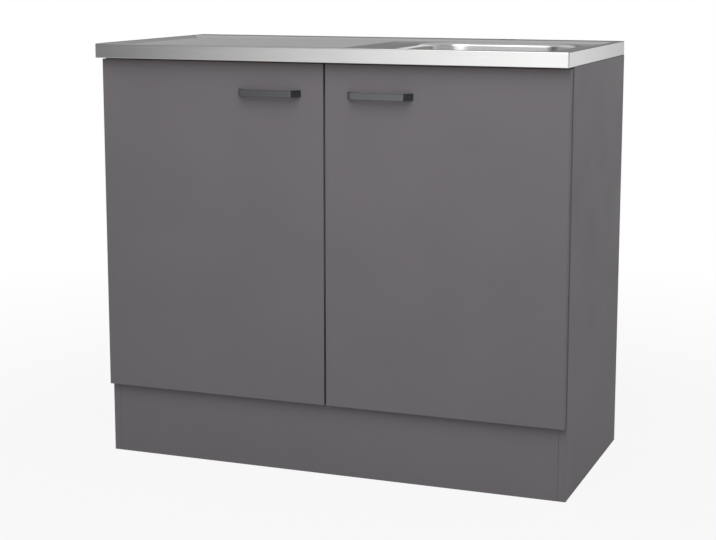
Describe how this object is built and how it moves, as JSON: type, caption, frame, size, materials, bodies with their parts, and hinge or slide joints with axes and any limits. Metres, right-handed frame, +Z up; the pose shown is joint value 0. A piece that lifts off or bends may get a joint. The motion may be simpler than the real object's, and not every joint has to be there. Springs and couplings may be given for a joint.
{
  "type": "kitchen sink unit",
  "caption": "Floor-standing kitchen sink cabinet with slab doors, bow handles, and a lay-on steel sink top with a drainer and a bowl; bottle trap inside.",
  "frame": {"origin": "middle of the footprint of the whole unit, on the floor", "axes": "+Z up; +X to the right as seen from the front, towards the bowl; -Y is the front with the doors"},
  "size_m": [1, 0.5, 0.88],
  "materials": {
    "grey_board": "matt dark grey melamine faced chipboard",
    "raw_board": "bare chipboard",
    "stainless": "stainless steel, rolled linen-like finish, fine brushed",
    "black_handle": "matt black powder coat",
    "plated_steel": "nickel plated pressed steel",
    "zinc_steel": "zinc plated steel",
    "cast_zinc": "die cast zinc",
    "white_plastic": "white moulded polypropylene",
    "grey_plastic": "grey moulded polypropylene",
    "clear_pad": "soft clear plastic pad",
    "black_rubber": "black sealing rubber"
  },
  "bodies": {
    "carcass": {"left_side_panel": "grey_board", "right_side_panel": "grey_board", "bottom_panel": "grey_board", "front_rail": "grey_board", "rear_top_rail": "grey_board", "rear_low_rail": "grey_board", "plinth_board": "grey_board", "cam_fittings": "cast_zinc", "cam_bolts": "zinc_steel", "plinth_brackets": "zinc_steel", "sink_top": "stainless", "sink_bowl": "stainless", "sink_battens": "raw_board", "sink_clamps": "zinc_steel", "bracket_screws": "zinc_steel", "left_hinge_arms": "plated_steel", "left_hinge_plates": "plated_steel", "left_plate_screws": "zinc_steel", "right_hinge_arms": "plated_steel", "right_hinge_plates": "plated_steel", "right_plate_screws": "zinc_steel", "strainer_flange": "stainless", "waste_gasket": "black_rubber", "waste_body": "white_plastic", "strainer_screw": "zinc_steel", "trap_inlet_nut": "grey_plastic", "trap_body": "white_plastic", "dip_pipe": "white_plastic", "trap_cup": "white_plastic", "trap_outlet_nut": "grey_plastic", "outlet_pipe": "white_plastic", "overflow_rose": "stainless", "overflow_housing": "white_plastic", "overflow_pipe": "white_plastic"},
    "left_hinge_link": {"left_hinge_links": "plated_steel"},
    "left_leaf": {"left_door": "grey_board", "left_handle": "black_handle", "left_handle_screws": "zinc_steel", "left_door_bumpers": "clear_pad", "left_hinge_cups": "plated_steel", "left_cup_screws": "zinc_steel"},
    "right_hinge_link": {"right_hinge_links": "plated_steel"},
    "right_leaf": {"right_door": "grey_board", "right_handle": "black_handle", "right_handle_screws": "zinc_steel", "right_door_bumpers": "clear_pad", "right_hinge_cups": "plated_steel", "right_cup_screws": "zinc_steel"},
    "basket": {"strainer_basket": "stainless", "basket_stopper": "black_rubber"}
  },
  "joints": [
    {"name": "left_link_turn", "type": "hinge", "parent": "carcass", "child": "left_hinge_link", "pos_m": [-0.472, -0.2025, 0.499], "axis": [0, 0, 1], "range_deg": [0, 38]},
    {"name": "left_door_turn", "type": "hinge", "parent": "left_hinge_link", "child": "left_leaf", "pos_m": [-0.49, -0.2119, 0.499], "axis": [0, 0, -1], "range_deg": [0, 133]},
    {"name": "right_link_turn", "type": "hinge", "parent": "carcass", "child": "right_hinge_link", "pos_m": [0.472, -0.2025, 0.499], "axis": [0, 0, -1], "range_deg": [0, 38]},
    {"name": "right_door_turn", "type": "hinge", "parent": "right_hinge_link", "child": "right_leaf", "pos_m": [0.49, -0.2119, 0.499], "axis": [0, 0, 1], "range_deg": [0, 133]},
    {"name": "basket_lift", "type": "slide", "parent": "carcass", "child": "basket", "axis": [0, 0, 1], "range_m": [0, 0.16]}
  ],
  "couplings": [
    {"joint": "left_link_turn", "follows": "left_door_turn", "ratio": 0.2857},
    {"joint": "right_link_turn", "follows": "right_door_turn", "ratio": 0.2857}
  ]
}
